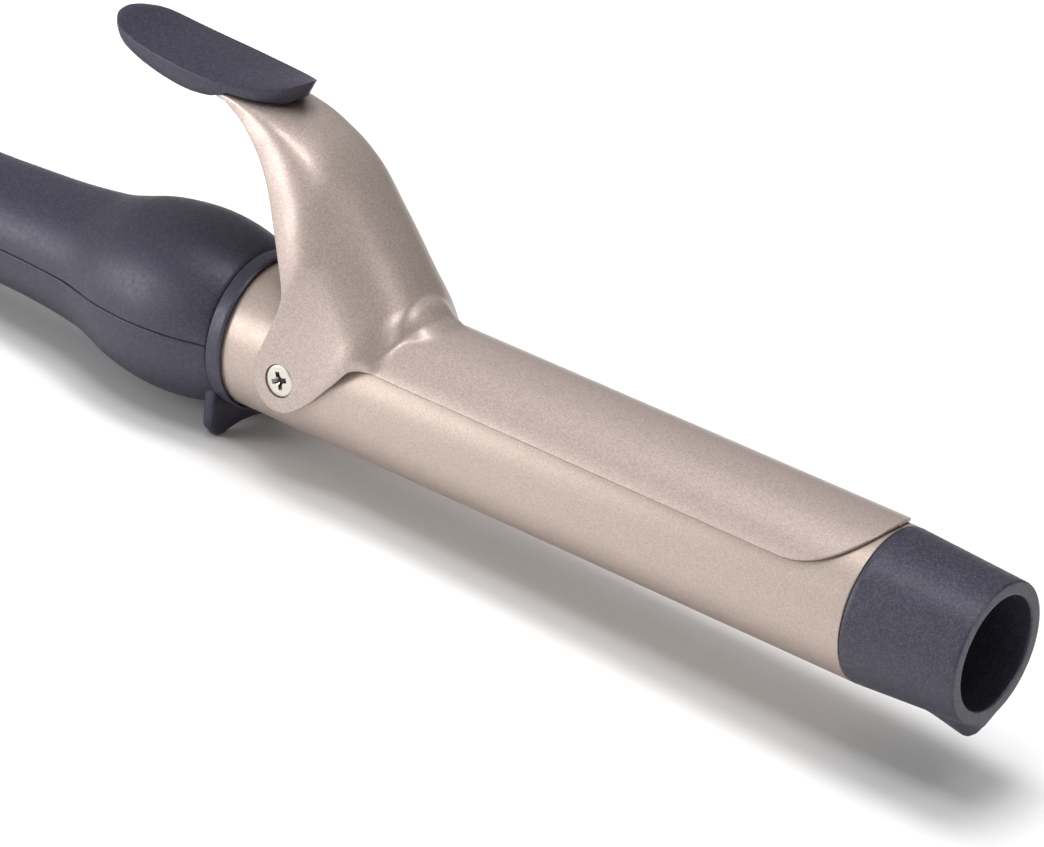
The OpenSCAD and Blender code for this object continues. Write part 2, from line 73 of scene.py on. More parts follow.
def in_handle(p):
    """Handle frame, millimetres, to the row's frame, metres."""
    p = np.asarray(p, float).reshape(-1, 3)
    return (p + [ROW_X, 0, AXIS_H]) * 0.001


def in_barrel(p):
    """Barrel frame, millimetres, to the row's frame, metres."""
    p = np.asarray(p, float).reshape(-1, 3)
    c, s = math.cos(DIP), math.sin(DIP)
    turned = np.stack([c * p[:, 0] + s * p[:, 2], p[:, 1], c * p[:, 2] - s * p[:, 0]], 1)
    return (turned + [ROW_X, 0, AXIS_H]) * 0.001


def make(name, verts, faces, place=in_barrel, body=ROOT, replaces=(), slot=None, sharp=35.0):
    """A mesh object from points in the place's frame. Without a body it's a tool, or is finished later."""
    mesh = bpy.data.meshes.new(name)
    mesh.from_pydata([tuple(v) for v in place(verts)], [], [tuple(f) for f in faces])
    mesh.validate()
    obj = bpy.data.objects.new(name, mesh)
    bpy.context.scene.collection.objects.link(obj)
    tidy_normals(obj)
    finish_piece(obj, body, replaces, slot, sharp)
    return obj


def tidy_normals(obj):
    """Merges double points and turns all faces outwards."""
    bm = bmesh.new()
    bm.from_mesh(obj.data)
    bmesh.ops.remove_doubles(bm, verts=bm.verts, dist=2e-6)
    bmesh.ops.recalc_face_normals(bm, faces=bm.faces)
    bm.to_mesh(obj.data)
    bm.free()


def finish_piece(obj, body, replaces, slot, sharp):
    """Smooths obj, hangs it on its body's empty, hides the CAD parts it replaces and lists it with its slot.
    """
    smooth(obj, sharp)
    if body:
        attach(obj, body)
    if replaces:
        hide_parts(*replaces)
    if slot:
        PIECES.append((obj, slot))


def smooth(obj, sharp=35.0):
    obj.data.shade_smooth()
    obj.data.set_sharp_from_angle(angle=math.radians(sharp))


def apply_modifiers(obj):
    """Swaps obj's mesh for what its modifiers make of it."""
    graph = bpy.context.evaluated_depsgraph_get()
    done = bpy.data.meshes.new_from_object(obj.evaluated_get(graph))
    old = obj.data
    obj.modifiers.clear()
    obj.data = done
    bpy.data.meshes.remove(old)


def cut(obj, tools, operation="DIFFERENCE", sharp=35.0):
    """Cuts each tool from obj, or joins it on, and removes the tools."""
    for i, tool in enumerate(tools):
        m = obj.modifiers.new(f"cut{i}", "BOOLEAN")
        m.operation = operation
        m.solver = "EXACT"
        m.object = tool
    bpy.context.view_layer.update()
    apply_modifiers(obj)
    for tool in tools:
        bpy.data.objects.remove(tool)
    smooth(obj, sharp)
    return obj


def bevel(obj, width, segments):
    """Rounds the edges that turn by more than 40 degrees."""
    m = obj.modifiers.new("bevel", "BEVEL")
    m.width = width * 0.001
    m.segments = segments
    m.limit_method = "ANGLE"
    m.angle_limit = math.radians(40)
    m.harden_normals = False
    bpy.context.view_layer.update()
    apply_modifiers(obj)
    smooth(obj)
    return obj


def join(obj, others):
    """Puts the others' meshes into obj, all in the same place."""
    bm = bmesh.new()
    bm.from_mesh(obj.data)
    for o in others:
        bm.from_mesh(o.data)
    bm.to_mesh(obj.data)
    bm.free()
    for o in others:
        bpy.data.objects.remove(o)
    return obj


def grid_faces(n, m, wrap_rows=False, wrap_cols=False, start=0):
    """Faces between n rows of m points, numbered from start."""
    out = []
    for i in range(n if wrap_rows else n - 1):
        for j in range(m if wrap_cols else m - 1):
            a = start + i * m + j
            b = start + i * m + (j + 1) % m
            c = start + ((i + 1) % n) * m + (j + 1) % m
            d = start + ((i + 1) % n) * m + j
            out.append((a, b, c, d))
    return out


def closed_stack(rows, cols):
    """Faces of stacked rings, with a flat cap on the first and the last."""
    last = (rows - 1) * cols
    caps = [tuple(range(cols))[::-1], tuple(range(last, last + cols))]
    return grid_faces(rows, cols, wrap_cols=True) + caps


def rounded(profile, radii, steps):
    """Rounds the corners of a closed line of [x, r] points. radii gives each point's radius."""
    p = np.asarray(profile, float)
    out = []
    for i, r in enumerate(radii):
        a, b, c = p[i - 1], p[i], p[(i + 1) % len(p)]
        u, v = a - b, c - b
        lu, lv = np.linalg.norm(u), np.linalg.norm(v)
        if r <= 0:
            out.append(b)
            continue
        u, v = u / lu, v / lv
        half = math.acos(np.clip(np.dot(u, v), -1, 1)) / 2
        d = min(r / max(math.tan(half), 1e-6), 0.45 * lu, 0.45 * lv)
        s, e = b + u * d, b + v * d
        for k in range(steps + 1):
            t = k / steps
            out.append((1 - t) ** 2 * s + 2 * t * (1 - t) * b + t * t * e)
    return np.array(out)


def ring_points(x, r, angles):
    """Points round the X axis. r is one radius, or one for each angle. Angle 0 is +Y, 90 degrees is +Z."""
    return np.stack([np.full(len(angles), x), r * np.cos(angles), r * np.sin(angles)], 1)


def lathe(name, profile, n=144, place=in_barrel, body=ROOT, replaces=(), slot=None, sharp=35.0,
          a0=0.0, a1=360.0):
    """A closed [x, r] profile turned round the X axis, all the way or from a0 to a1 degrees."""
    full = a1 - a0 == 360.0
    angles = np.radians(np.linspace(a0, a1, n, endpoint=not full))
    rows = len(profile)
    faces = grid_faces(rows, n, wrap_rows=True, wrap_cols=full)
    if not full:
        faces.append(tuple(i * n for i in range(rows)))
        faces.append(tuple(i * n + n - 1 for i in range(rows))[::-1])
    verts = np.concatenate([ring_points(x, r, angles) for x, r in profile])
    return make(name, verts, faces, place, body, replaces, slot, sharp)


def catmull(points, per_span):
    """A smooth line through the points. per_span is one count, or one for each span."""
    p = np.asarray(points, float)
    out = []
    for i in range(len(p) - 1):
        k = per_span[i] if hasattr(per_span, "__len__") else per_span
        a, b, c, d = p[max(i - 1, 0)], p[i], p[i + 1], p[min(i + 2, len(p) - 1)]
        for t in np.arange(k) / k:
            out.append(0.5 * (2 * b + (c - a) * t + (2 * a - 5 * b + 4 * c - d) * t ** 2
                              + (3 * b - a - 3 * c + d) * t ** 3))
    out.append(p[-1])
    return np.array(out)


def cylinder_tool(name, centre, axis, r, length, place=in_barrel, n=64, r2=None):
    """A plain cylinder or cone for cutting, centred at centre, along axis."""
    axis = np.asarray(axis, float) / np.linalg.norm(axis)
    side = np.cross(axis, [0.3, 0.5, 0.81])
    side /= np.linalg.norm(side)
    up = np.cross(axis, side)
    a = np.linspace(0, 2 * math.pi, n, endpoint=False)
    r2 = r if r2 is None else r2
    rings = [centre + axis * h + rr * (np.outer(np.cos(a), side) + np.outer(np.sin(a), up))
             for h, rr in ((-length / 2, r), (length / 2, r2))]
    return make(name, np.concatenate(rings), closed_stack(2, n), place, None)


def prism(name, outline, low, high, plane="xy", place=in_barrel):
    """An outline in the xy or yz plane, extruded along the third axis."""
    o = np.asarray(outline, float)
    flat = [np.column_stack([o, np.full(len(o), h)]) for h in (low, high)]
    verts = np.concatenate(flat)
    if plane == "yz":
        verts = np.roll(verts, 1, axis=1)
    return make(name, verts, closed_stack(2, len(o)), place, None)


def rectangle(cx, cy, half_x, half_y):
    """The four corners round (cx, cy)."""
    return [[cx + sx * half_x, cy + sy * half_y] for sx, sy in ((-1, -1), (1, -1), (1, 1), (-1, 1))]


def arc_points(cx, cy, r, a0, a1, n):
    """n points of an arc round (cx, cy) from a0 to a1 degrees."""
    a = np.radians(np.linspace(a0, a1, n))
    return [[cx + r * math.cos(t), cy + r * math.sin(t)] for t in a]


# ---------- handle ----------

HANDLE_LINE = [     # x and radius, from the collar to the rear end
    [-4, 16.5], [-10, 18.35], [-16, 19.5], [-22, 19.85], [-28, 19.4], [-34, 18.35], [-40, 16.5],
    [-45, 15.15], [-52, 14.2], [-60, 13.5], [-70, 13.05], [-82, 12.65], [-98, 12.75], [-114, 13.4],
    [-130, 14.1], [-146, 14.5], [-158, 14.3], [-165, 13.6], [-168, 12.4],
]
HANDLE_CURVE = catmull(HANDLE_LINE, 5)
DISPLAY_X = -100.0
POWER_X = -118.0
PLUS_X = -127.0
MINUS_X = -136.0
POWER_R = 4.0
SIGN_R = 3.2                # the plus and minus keys
KEY_GAP = 0.15
SCREWS = [(-36.0, 7.4), (-36.0, -7.4), (-145.6, 8.6), (-145.6, -8.6)]
WELL_R = 2.55
SEAM_REACH = 0.42           # how far from the parting plane the seam's round starts
SEAM_DEPTH = 0.34


def handle_r(x):
    """The handle's outer radius at x."""
    return float(np.interp(-x, -HANDLE_CURVE[:, 0], HANDLE_CURVE[:, 1]))


def shell_half(name, upper):
    """One half of the handle: outer wall, inner wall, and a small round along the seam and the front edge."""
    outer = HANDLE_CURVE.copy()
    front = [[-4.25, 15.75], [-4.3, 16.15], [-4.6, 16.5], [-5.1, 16.78]]
    outer = np.concatenate([front, outer[outer[:, 0] < -5.6]])
    outer = np.concatenate([outer[:-1], [[-167.6, 12.62], [-167.95, 12.3], [-168, 11.9]]])
    inner = [[x, handle_r(x) - HANDLE_WALL] for x in np.linspace(-166.5, -6, 60)]
    inner = [[-168, 11.0], [-167.4, 10.6]] + inner + [[-4.25, 14.3]]
    near = np.degrees(np.array([0.03, 0.07, 0.12, 0.18, 0.26, 0.36, 0.5, 0.9]) / 15.0)
    angles = np.concatenate([near, np.linspace(5, 175, 70), 180 - near[::-1]])
    if not upper:
        angles = angles + 180
    a = np.radians(angles)
    rows = []
    for k, (x, r) in enumerate(list(outer) + inner):
        r = np.full(len(a), r)
        if k < len(outer):
            gap = np.minimum(np.abs(np.sin(a)) * r, SEAM_REACH) / SEAM_REACH
            r = r - SEAM_DEPTH * (1 - gap) ** 2
        z = r * np.sin(a)
        lean = 0.0157 * z * np.clip((x + 14) / 9.7, 0, 1)       # the front edge turns square to the barrel
        rows.append(np.stack([x + lean, r * np.cos(a), z], 1))
    g = np.array(rows)
    n, m = g.shape[:2]
    faces = grid_faces(n, m, wrap_rows=True)
    no, ni = len(outer), len(inner)
    for j in (0, m - 1):                      # the flat seam faces, between the outer and inner rows
        i, k = 0, n - 1
        while i < no - 1 or k > no:
            step_outer = k <= no or (i < no - 1 and i / (no - 1) <= (n - 1 - k) / (ni - 1))
            nxt = (i + 1) if step_outer else (k - 1)
            faces.append((i * m + j, nxt * m + j, k * m + j))
            i, k = (nxt, k) if step_outer else (i, nxt)
    node = "handle_upper_shell" if upper else "handle_lower_shell"
    return make(name, g.reshape(-1, 3), faces, in_handle, ROOT, (node,), "handle_soft_touch")


def screw_boss(name, x, y):
    """The well that a handle screw sits in, its lower end on the shell's inner wall."""
    wall_r = handle_r(x) - 1.3
    outer, hole = 3.4, 1.5
    top, floor = -3.9, -4.0
    profile = (WELL_R, None), (outer, None), (outer, top), (hole, top), (hole, floor), (WELL_R, floor)
    a = np.linspace(0, 2 * math.pi, 40, endpoint=False)
    rows = []
    for r, z in profile:
        px, py = x + r * np.cos(a), y + r * np.sin(a)
        height = -np.sqrt(wall_r ** 2 - py ** 2) if z is None else np.full(len(a), z)
        rows.append(np.stack([px, py, height], 1))
    return make(name, np.concatenate(rows), grid_faces(len(rows), len(a), True, True), in_handle, None)


def rounded_box_outline(cx, cy, lx, ly, r, n=7):
    """A rectangle of lx by ly round (cx, cy), its corners rounded by r with n points each."""
    pts = []
    for sx, sy, a in ((1, 1, 0), (-1, 1, 90), (-1, -1, 180), (1, -1, 270)):
        pts += arc_points(cx + sx * (lx / 2 - r), cy + sy * (ly / 2 - r), r, a, a + 90, n)
    return pts


upper_shell = shell_half("upper_shell", True)
tools = [cylinder_tool("t_key", np.array([x, 0, 15]), (0, 0, 1), r + KEY_GAP, 14, in_handle)
         for x, r in ((POWER_X, POWER_R), (PLUS_X, SIGN_R), (MINUS_X, SIGN_R))]
tools.append(prism("t_lens", rounded_box_outline(DISPLAY_X, 0, 20.2, 12.2, 2.1), 6, 20, place=in_handle))
cut(upper_shell, tools)

lower_shell = shell_half("lower_shell", False)
cut(lower_shell, [cylinder_tool("t_well", np.array([x, y, -12]), (0, 0, 1), WELL_R, 16, in_handle)
                  for x, y in SCREWS])
leg_side = [[12.4, -8], [12.45, -12.5]] + arc_points(9.4, -AXIS_H + 4, 3.05, 4, -52, 9)
leg_side += [[9.9, -AXIS_H], [7.9, -AXIS_H], [6.9, -22.15], [5.4, -21.72], [3.6, -21.4], [1.8, -21.2]]
legs = prism("legs", leg_side + [[-y, z] for y, z in leg_side[::-1]], -7.0, -4.4, "yz", in_handle)
bevel(legs, 0.95, 6)
cut(legs, [cylinder_tool("t_leg", np.array([-6, 0, 0]), (1, 0, 0), 15.2, 20, in_handle, n=128)])
join(lower_shell, [legs] + [screw_boss(f"boss{i}", x, y) for i, (x, y) in enumerate(SCREWS)])
smooth(lower_shell)

COLLAR_LINE = [[-4, 16.05], [-1.8, 16.05], [-1.8, 16.5], [-0.3, 16.5], [-0.12, 16.62], [-0.25, 16.82],
               [-0.9, 17], [-4, 16.84]]
lathe("collar", rounded(COLLAR_LINE, [0, 0, 0, 0.1, 0.12, 0.25, 0.5, 0.28], 4), n=192,
      replaces=("collar_ring",), slot="handle_soft_touch", sharp=50)


# ---------- barrel and cool tip ----------

BARREL_LINE = [[-2.6, BARREL_R - 1], [-2.6, BARREL_R], [BARREL_L - 0.06, BARREL_R],
               [BARREL_L - 0.06, BARREL_R - 1]]
lathe("barrel", rounded(BARREL_LINE, [0, 0, 0.32, 0], 5), n=192, replaces=("barrel_tube",),
      slot="barrel_coating")


def tip_r(x):
    """The cool tip's outer radius at x."""
    start = 16.05
    return start - (start - TIP_R) * (x - BARREL_L) / (TIP_X - BARREL_L)


KEEL_START = BARREL_L + 4.5
KEEL_LINE = [       # x, and the distance from the axis to the middle of the ridge's round
    [KEEL_START, 14.3], [BARREL_L + 8, 15.0], [BARREL_L + 12, 15.85], [BARREL_L + 16.7, 16.9],
    [BARREL_L + 20, 17.6], [BARREL_L + 21.4, 17.85], [BARREL_L + 22.4, 17.6], [BARREL_L + 23.7, 16.5],
    [TIP_X - 0.1, 14.4],
]
KEEL_ROUND = 1.2
KEEL_SPREAD = 0.66          # how far round the keel's flanks reach, as a share of the tangent lines


def keel(x, r, angles):
    """The tip's radius round the axis, with the keel's flat flanks and rounded ridge."""
    out = np.full(len(angles), r)
    if x <= KEEL_START:
        return out
    d = float(np.interp(x, [p[0] for p in KEEL_LINE], [p[1] for p in KEEL_LINE]))
    if d <= r - KEEL_ROUND + 0.02:
        return out
    phi = np.radians(np.abs((np.degrees(angles) + 90 + 180) % 360 - 180))
    alpha = math.acos(min(1.0, (r - KEEL_ROUND) / d))
    touch = math.atan2(KEEL_ROUND * math.sin(alpha), d + KEEL_ROUND * math.cos(alpha))
    foot = touch + KEEL_SPREAD * (alpha - touch)
    reach = d * math.cos(touch) + math.sqrt(max(KEEL_ROUND ** 2 - (d * math.sin(touch)) ** 2, 0.0))
    a = reach * np.array([math.sin(touch), math.cos(touch)])
    run = r * np.array([math.sin(foot), math.cos(foot)]) - a
    ray = np.sin(phi) * run[1] - np.cos(phi) * run[0]
    flank = (a[0] * run[1] - a[1] * run[0]) / np.where(np.abs(ray) < 1e-6, -1e-6, ray)
    inside = KEEL_ROUND ** 2 - (d * np.sin(phi)) ** 2
    ridge = d * np.cos(phi) + np.sqrt(np.maximum(inside, 0))
    return np.where(phi < touch, ridge, np.where(phi < foot, flank, r))


def cool_tip():
    """The open tip, its bore and its plug end turned in one, with more points round the keel."""
    outer = [[BARREL_L + 0.05, 15.3], [BARREL_L + 0.05, 15.62], [BARREL_L + 0.2, 15.86],
             [BARREL_L + 0.55, tip_r(BARREL_L) - 0.03]]
    outer += [[x, tip_r(x)] for x in np.linspace(BARREL_L + 1.2, BARREL_L + 4.3, 4)]
    outer += [[x, tip_r(x)] for x in np.linspace(BARREL_L + 4.8, TIP_X - 1.0, 56)]
    rim = rounded([[TIP_X - 1.0, tip_r(TIP_X - 1)], [TIP_X, TIP_R - 0.02], [TIP_X, TIP_BORE + 0.1],
                   [TIP_X - 1.2, TIP_BORE]], [0, 0.8, 0.55, 0], 6)
    bore = [[162.3, TIP_BORE], [162.1, TIP_BORE - 0.2], [162.1, 3.5], [161.9, 3.3], [160.3, 3.3],
            [160.3, 1.7], [159.1, 1.7], [159.1, 12.5], [145.1, 12.5], [145.1, 14.95],
            [BARREL_L + 0.05, 14.95]]
    profile = outer + [list(p) for p in rim[1:]] + bore
    near = np.arange(-134, -45.9, 1.0)
    rest = np.arange(-44, 225, 2.5)
    angles = np.radians(np.concatenate([near, rest]))
    rows = []
    for x, r in profile:
        keeled = r > 13.9 and x < TIP_X - 0.02
        rows.append(ring_points(x, keel(x, r, angles) if keeled else r, angles))
    make("tip", np.concatenate(rows), grid_faces(len(rows), len(angles), True, True), in_barrel, ROOT,
         ("cool_tip",), "tip_plastic", sharp=32)


cool_tip()


# ---------- clamp ----------

# Stations from the blade up the lever, each [edge], [front corner], [crown] as x, half width, z
STATIONS = [
    [(36.2, 14.72, 8.72), (37.0, 13.7, 11.0), (39.7, 0, 17.9)],
    [(34.2, 15.5, 8.6), (35.6, 14.5, 12.0), (38.9, 0, 19.2)],
    [(32.3, 16.5, 7.9), (34.2, 15.2, 13.0), (38.1, 0, 20.3)],
    [(30.2, 17.05, 5.4), (33.1, 15.6, 14.2), (37.1, 0, 21.4)],
    [(27.2, EAR_Y, 1.9), (32.1, 15.6, 15.4), (36.3, 0, 22.3)],
    [(24.2, EAR_Y, -1.5), (31.2, 15.45, 16.5), (35.5, 0, 23.3)],
    [(21.1, EAR_Y, -4.35), (30.2, 15.3, 17.7), (34.6, 0, 24.4)],
    [(17.9, EAR_Y, -6.25), (29.2, 15.15, 18.9), (33.6, 0, 25.6)],
    [(14.5, EAR_Y, -6.4), (28.2, 15.0, 20.2), (32.6, 0, 26.8)],
    [(11.4, EAR_Y, -4.75), (27.2, 14.8, 21.6), (31.5, 0, 28.1)],
    [(9.6, EAR_Y, -1.7), (26.1, 14.65, 23.1), (30.3, 0, 29.5)],
    [(9.6, EAR_Y, 1.9), (25.0, 14.5, 24.7), (29.0, 0, 30.9)],
    [(10.9, EAR_Y, 6.2), (23.8, 14.3, 26.4), (27.6, 0, 32.4)],
    [(12.8, EAR_Y, 11.3), (22.5, 14.1, 28.2), (26.0, 0, 34.1)],
    [(14.2, EAR_Y, 16.0), (21.2, 13.9, 29.9), (24.4, 0, 35.8)],
    [(14.1, 17.2, 19.5), (20.0, 13.7, 31.4), (23.0, 0, 37.3)],
    [(11.2, 16.0, 25.7), (17.3, 13.1, 35.4), (20.1, 0, 40.3)],
    [(8.2, 14.5, 30.8), (14.4, 12.3, 39.4), (16.8, 0, 43.4)],
    [(4.8, 13.0, 36.8), (10.7, 11.1, 43.2), (12.2, 0, 46.6)],
    [(0.8, 11.5, 41.5), (6.4, 10.2, 46.1), (7.4, 0, 48.6)],
    [(-3.1, 10.5, 44.9), (2.0, 9.6, 48.3), (2.2, 0, 49.8)],
    [(-6.9, 9.5, 47.2), (-2.7, 9.2, 49.5), (-2.6, 0, 50.6)],
    [(-10.1, 9.0, 48.6), (-7.0, 8.9, 50.2), (-7.0, 0, 51.1)],
    [(-13.5, 8.6, 49.7), (-12.5, 8.5, 50.7), (-12.5, 0, 51.2)],
    [(-24.0, 7.5, 50.0), (-23.9, 7.4, 50.7), (-24.0, 0, 51.2)],
    [(-38.0, 6.7, 50.8), (-37.9, 6.6, 51.3), (-38.0, 0, 51.75)],
]
SIDE_STEPS = 14
CORNER_STEPS = 12
FRONT_STEPS = 20
CORNER_ANGLE = 50.0         # where the lever's corners meet the blade's arc


def lever_half(edge, corner, crown):
    """The far half of a section: up the side wall, round the corner and over the front to the crown."""
    e, f, c = (np.array(v, float) for v in (edge, corner, crown))
    g = np.array([c[0], 0.45 * f[1], c[2]])
    reach = min(4.6, 0.45 * np.linalg.norm(f - e), 0.42 * np.linalg.norm(g - f))
    t1 = 1 - reach / np.linalg.norm(f - e)
    out = []
    for k in range(SIDE_STEPS):
        t = t1 * k / SIDE_STEPS
        p = e + (f - e) * t
        p[1] = e[1] + (f[1] - e[1]) * t ** 2.2
        out.append(p)
    m1 = e + (f - e) * t1
    m1[1] = e[1] + (f[1] - e[1]) * t1 ** 2.2
    m2 = f + (g - f) * reach / np.linalg.norm(g - f)
    for k in range(CORNER_STEPS):
        t = k / CORNER_STEPS
        out.append((1 - t) ** 2 * m1 + 2 * t * (1 - t) * f + t * t * m2)
    for k in range(FRONT_STEPS + 1):
        t = k / FRONT_STEPS
        out.append((1 - t) ** 2 * m2 + 2 * t * (1 - t) * g + t * t * c)
    return np.array(out)


def arc_half(x_edge, x_corner, x_crown, half=HALF_ANGLE):
    """The same count of points, on the blade's arc round the barrel."""
    share = half / HALF_ANGLE
    below, above = (CORNER_ANGLE + 4.2) * share, (CORNER_ANGLE - 8) * share
    ang = np.concatenate([np.linspace(half, below, SIDE_STEPS, endpoint=False),
                          np.linspace(below, above, CORNER_STEPS, endpoint=False),
                          np.linspace(above, 0, FRONT_STEPS + 1)])
    a = np.radians(ang)
    x = np.interp(ang, [0, 30 * share, CORNER_ANGLE * share, half],
                  [x_crown, 0.5 * (x_crown + x_corner), x_corner, x_edge])
    return np.stack([x, BLADE_R * np.sin(a), BLADE_R * np.cos(a)], 1)


def clamp_rows():
    """Half sections from the tongue's round end, along the blade and up the lever, and the crease's row."""
    tongue_l = 16.5
    tongue_x = BARREL_L - 0.6 - tongue_l
    rows = []
    for a in np.linspace(2.5, 90, 26):
        x = tongue_x + tongue_l * math.cos(math.radians(a))
        rows.append(arc_half(x, x, x, HALF_ANGLE * math.sin(math.radians(a))))
    for x in np.linspace(tongue_x - 4, 50, 22):
        rows.append(arc_half(x, x, x))
    crease = (37.6, 38.3, 40.5)
    for back in (7.5, 6, 4.6, 3.4, 2.5, 1.8, 1.25, 0.8, 0.4):
        rows.append(arc_half(crease[0] + back, crease[1] + back, crease[2] + back))
    first = len(rows)
    rows.append(arc_half(*crease))
    spans = [5] * 15 + [6] * 6 + [4, 4, 3, 3]
    lever = [lever_half(*s) for s in STATIONS]
    stack = np.array(lever)
    smooth_rows = catmull(stack.reshape(len(lever), -1), spans).reshape(-1, *stack.shape[1:])
    start = rows[-1]
    for t in (0.25, 0.5, 0.75):
        rows.append(start * (1 - t) + smooth_rows[0] * t)
    rows += list(smooth_rows)
    return np.array(rows), first


def both_sides(half):
    """The half sections and their mirror image, sharing the crown."""
    return np.concatenate([half * [1, -1, 1], half[:, -2::-1, :]], 1)


def normals_of(g):
    """Unit normals of a grid of points."""
    along = np.gradient(g, axis=0)
    over = np.gradient(g, axis=1)
    n = np.cross(over, along)
    return n / np.maximum(np.linalg.norm(n, axis=2, keepdims=True), 1e-12)


def relax(g, times, weight, across=False):
    """Evens the grid along its rows, or across them. weight is 0 to 1 for each row and column."""
    if across:
        return relax(g.swapaxes(0, 1), times, weight.T).swapaxes(0, 1)
    for _ in range(times):
        mean = g.copy()
        mean[1:-1] = 0.5 * (g[:-2] + g[2:])
        g = g + (mean - g) * weight[:, :, None] * 0.5
    return g


HOOD_CENTRE = np.array([39.0, 0.0, 15.6])
HOOD_RADII = np.array([6.4, 7.5, 6.4])
HOOD_RISE = 0.5


def push_hood(g):
    """Raises the stiffening hood in the corner between the blade and the lever, outwards from the corner."""
    out = np.array([1.0, 0.0, 1.0]) / math.sqrt(2)
    q = (g - HOOD_CENTRE) / HOOD_RADII
    d = out / HOOD_RADII
    a = np.sum(d * d)
    b = np.sum(q * d, 2)
    k = np.sum(q * q, 2) - 1
    t = np.where(k < 0, (-b + np.sqrt(np.maximum(b * b - a * k, 0))) / a, 0)
    return g + out * HOOD_RISE * t[:, :, None]


def sheet_solid(g, t, flip, rim_steps=6):
    """A sheet of thickness t under grid g, its edges rounded. flip turns the normals outwards."""
    n = normals_of(g) * flip
    rows, cols = g.shape[:2]
    loop = [(0, j) for j in range(cols)] + [(i, cols - 1) for i in range(1, rows)]
    loop += [(rows - 1, j) for j in range(cols - 2, -1, -1)] + [(i, 0) for i in range(rows - 2, 0, -1)]
    edge = np.array([g[i, j] for i, j in loop])
    en = np.array([n[i, j] for i, j in loop])
    tangent = np.roll(edge, -1, 0) - np.roll(edge, 1, 0)
    tangent /= np.maximum(np.linalg.norm(tangent, axis=1, keepdims=True), 1e-9)
    out = np.cross(tangent, en)
    out /= np.maximum(np.linalg.norm(out, axis=1, keepdims=True), 1e-9)
    inner_pt = np.array([g[min(max(i, 1), rows - 2), min(max(j, 1), cols - 2)] for i, j in loop])
    sign = np.sign(np.sum(out * (edge - inner_pt), 1))
    out *= np.where(sign == 0, 1, sign)[:, None]
    verts = [g.reshape(-1, 3), (g - n * t).reshape(-1, 3)]
    faces = grid_faces(rows, cols) + [f[::-1] for f in grid_faces(rows, cols, start=rows * cols)]
    base = 2 * rows * cols
    m = len(loop)
    ring_ids = [[i * cols + j for i, j in loop]]
    for k in range(1, rim_steps):
        a = math.pi * k / rim_steps
        p = edge - en * (t / 2) * (1 - math.cos(a)) + out * 0.22 * math.sin(a)
        verts.append(p)
        ring_ids.append(list(range(base, base + m)))
        base += m
    ring_ids.append([rows * cols + i * cols + j for i, j in loop])
    for a, b in zip(ring_ids[:-1], ring_ids[1:]):
        for k in range(m):
            q = (k + 1) % m
            faces.append((a[k], a[q], b[q], b[k]))
    return np.concatenate(verts), faces


def build_clamp():
    """The pressed sheet, its crease and lever evened out."""
    half, first = clamp_rows()
    g = both_sides(half)
    rows, cols = g.shape[:2]
    flip = np.sign(normals_of(g)[30, cols // 2, 2])
    g = push_hood(g)
    i = np.arange(rows)[:, None]
    s = np.abs(np.arange(cols) - cols // 2)[None, :] / (cols // 2)
    near_crease = np.exp(-((i - first - 1) / 5.0) ** 2)
    inside = np.clip((1 - s) * 8, 0, 1)
    g = relax(g, 10, near_crease * inside)
    lever = np.clip((i - first + 4) / 6.0, 0, 1) * np.ones_like(s)
    g = relax(g, 6, lever * inside * np.clip((1 - s) * 3, 0, 1), across=True)
    g = relax(g, 4, np.clip((i - first - 2) / 6.0, 0, 1) * inside * (i < rows - 2))
    verts, faces = sheet_solid(g, SHEET, flip)
    return make("clamp_sheet", verts, faces, in_barrel, CLAMP, ("clamp",), "clamp_coating", sharp=60)


clamp = build_clamp()
cut(clamp, [cylinder_tool("t_pivot", np.array([PIVOT_X, 0, 0]), (0, 1, 0), 3.53, 60, n=96)], sharp=60)


# ---------- thumb pad ----------

PAD = [     # x, half width, height of the top's edge and height of the underside, from the rear to the front
    [-46.8, 0.5, 56.6, 55.6], [-46.4, 2.5, 56.55, 55.0], [-45.5, 4.5, 56.35, 54.3], [-43.3, 7.0, 55.95, 53.2],
    [-40.4, 8.6, 55.3, 51.9], [-35, 9.65, 54.4, 50.4], [-28, 10.2, 53.75, 49.1], [-21, 10.4, 53.35, 48.6],
    [-14, 9.95, 53.2, 49.3], [-8, 8.7, 53.5, 49.7], [-4, 7.2, 54, 50.1], [-0.5, 4.9, 54.9, 50.9],
    [2, 2.6, 55.9, 51.9], [3.3, 1.0, 56.6, 52.6], [3.75, 0.3, 56.85, 52.9],
]
PAD_LEAN = 2.1              # how far the foot of the front end lies behind its top


def pad_section(x, w, zt, zb):
    """Half of a section, from the top's middle to the underside's middle. The front end leans back."""
    crown = min(0.75, w / 8)
    h = zt - zb
    edge = min(0.45, 0.3 * h, 0.4 * w)
    top = [[w * t, zt + crown * (1 - t ** 2)] for t in np.linspace(0, 0.9, 12)]
    corner = rounded([[w * 0.9, zt + crown * 0.19], [w, zt - 0.02], [w * 0.985, zt - 0.35 * h]],
                     [0, edge, 0], 5)[1:]
    side = [[w * (0.985 - 0.085 * t ** 1.4), zt - h * (0.35 + 0.5 * t)] for t in np.linspace(0.15, 1, 6)]
    low = rounded([[w * 0.9, zt - 0.85 * h], [w * 0.865, zb], [w * 0.7, zb]],
                  [0, 0.5 * edge + 0.15 * h, 0], 5)[1:]
    under = [[w * t, zb] for t in np.linspace(0.6, 0, 5)]
    slope = PAD_LEAN * (max(0, x + 6) / 9.7) ** 1.5 / h
    line = top + [list(q) for q in corner] + side + [list(q) for q in low] + under
    return np.array([[x - slope * (zt - z), y, z] for y, z in line])


